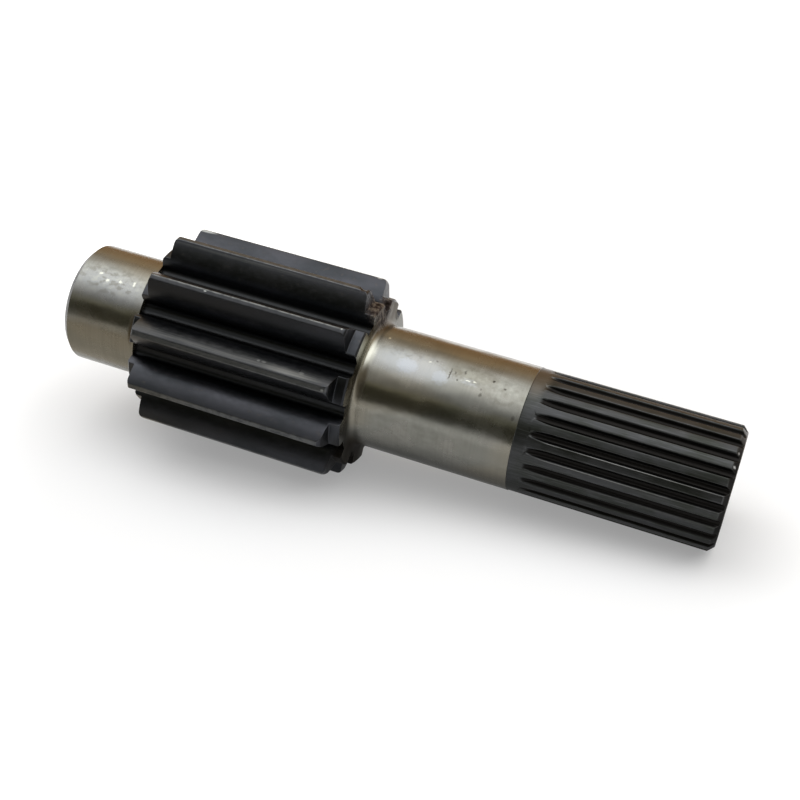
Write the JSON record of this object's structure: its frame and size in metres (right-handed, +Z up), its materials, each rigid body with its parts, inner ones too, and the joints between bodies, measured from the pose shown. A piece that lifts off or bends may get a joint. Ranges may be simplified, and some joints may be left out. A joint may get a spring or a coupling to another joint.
{
  "type": "pinion shaft",
  "caption": "One-piece steel shaft with a spur pinion between plain journals and an involute spline at one end.",
  "frame": {"origin": "on the surface that the shaft lies on, under the centre of its bounding box", "axes": "+X along the shaft from the plain end towards the splined end, which dips 5.81 degrees below level because the shaft rests on two pinion teeth and its splined end; +Z up; Y across, with the shaft symmetric about the plane Y = 0 except for the spline's teeth"},
  "size_m": [0.4168, 0.124, 0.1343],
  "materials": {
    "steel": "ground bright on the journals, blackened and satin on the teeth and the spline"
  },
  "bodies": {
    "root": {"pinion_shaft": "steel"}
  },
  "joints": []
}
